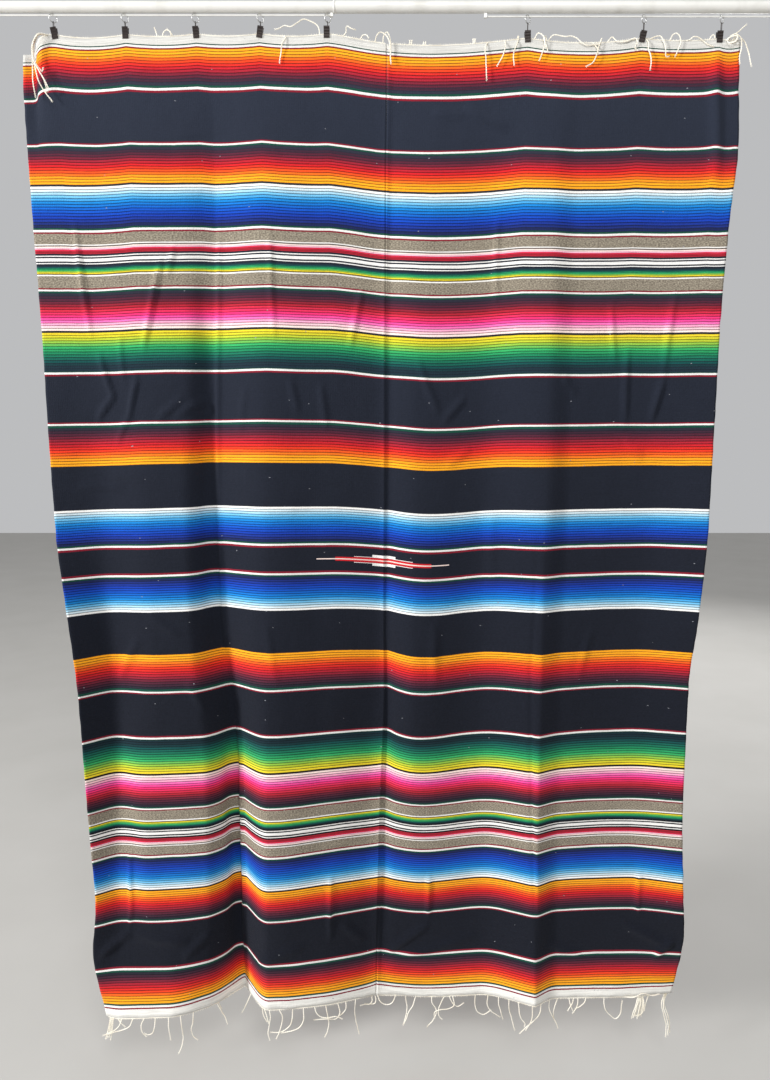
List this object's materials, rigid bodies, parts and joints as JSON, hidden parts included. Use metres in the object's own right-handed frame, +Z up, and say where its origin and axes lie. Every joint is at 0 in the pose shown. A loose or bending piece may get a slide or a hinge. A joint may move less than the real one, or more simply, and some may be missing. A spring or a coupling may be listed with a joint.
{
  "type": "hanging serape on a clip-ring pole",
  "caption": "Long handwoven striped blanket of two joined widths with fringed ends, hung from a white pole by clip rings.",
  "frame": {"origin": "on the pole's axis at the middle of its length", "axes": "+X along the pole, to the right of someone who faces the cloth; +Z up; -Y out of the cloth's front, towards that person"},
  "size_m": [1.58, 0.1162, 2.2434],
  "materials": {
    "striped_weave": "weft-faced weave in stripes, brushed, matt",
    "cream_warp": "cream cotton warp ends, matt",
    "white_enamel": "white enamelled steel tube and wire, satin",
    "bright_wire": "bright drawn wire",
    "blackened_steel": "blackened pressed steel, satin"
  },
  "bodies": {
    "root": {"clip_1_back_jaw": "blackened_steel", "clip_1_front_jaw": "blackened_steel", "clip_1_link": "blackened_steel", "clip_1_ring": "bright_wire", "clip_2_back_jaw": "blackened_steel", "clip_2_front_jaw": "blackened_steel", "clip_2_link": "blackened_steel", "clip_2_ring": "bright_wire", "clip_3_back_jaw": "blackened_steel", "clip_3_front_jaw": "blackened_steel", "clip_3_link": "blackened_steel", "clip_3_ring": "bright_wire", "clip_4_back_jaw": "blackened_steel", "clip_4_front_jaw": "blackened_steel", "clip_4_link": "blackened_steel", "clip_4_ring": "bright_wire", "clip_5_back_jaw": "blackened_steel", "clip_5_front_jaw": "blackened_steel", "clip_5_link": "blackened_steel", "clip_5_ring": "bright_wire", "clip_6_back_jaw": "blackened_steel", "clip_6_front_jaw": "blackened_steel", "clip_6_link": "blackened_steel", "clip_6_ring": "bright_wire", "clip_7_back_jaw": "blackened_steel", "clip_7_front_jaw": "blackened_steel", "clip_7_link": "blackened_steel", "clip_7_ring": "bright_wire", "clip_8_back_jaw": "blackened_steel", "clip_8_front_jaw": "blackened_steel", "clip_8_link": "blackened_steel", "clip_8_ring": "bright_wire", "fringe_hem_left": "cream_warp", "fringe_hem_right": "cream_warp", "fringe_top_left": "cream_warp", "fringe_top_right": "cream_warp", "pole_left": "white_enamel", "pole_right": "white_enamel", "rail_left": "white_enamel", "rail_left_post_left": "white_enamel", "rail_left_post_right": "white_enamel", "rail_right": "white_enamel", "rail_right_post_left": "white_enamel", "rail_right_post_right": "white_enamel", "width_left": "striped_weave", "width_right": "striped_weave"}
  },
  "joints": []
}
